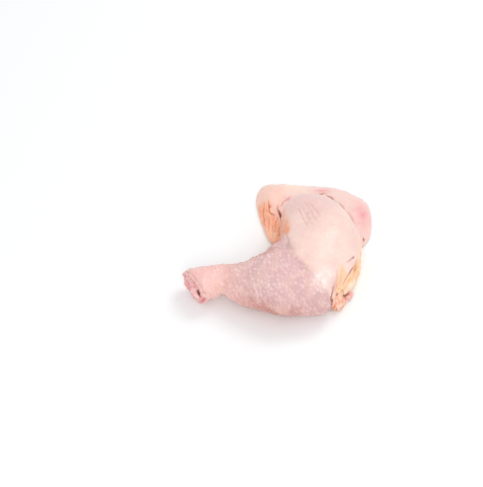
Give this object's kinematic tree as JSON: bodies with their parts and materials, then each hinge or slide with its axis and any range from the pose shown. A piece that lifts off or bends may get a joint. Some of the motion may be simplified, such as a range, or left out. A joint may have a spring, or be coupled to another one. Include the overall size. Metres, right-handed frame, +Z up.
{
  "type": "raw chicken leg quarter",
  "caption": "Raw chicken leg quarter lying skin side up: bent drumstick and thigh with loose skin round the hip, a cut hock showing the bone, and yellow fat at the thigh's edge.",
  "frame": {"origin": "middle of the whole piece's footprint, on the table it lies on", "axes": "+X from the cut hock towards the knee, +Y from the drumstick towards the hip and its loose skin, +Z up"},
  "size_m": [0.161, 0.157, 0.0518],
  "materials": {
    "skin": "moist raw skin, pebbled on the drumstick and finely wrinkled on the thigh",
    "bone": "wet gristle and bone end, pale pink",
    "fat": "soft moist fat, pale yellow to orange",
    "meat": "wet raw muscle, pink red"
  },
  "bodies": {
    "root": {"leg_quarter": "skin", "shin_bone": "bone", "fat_fold": "fat", "fat_tag": "fat", "meat_scrap": "meat"}
  },
  "joints": []
}
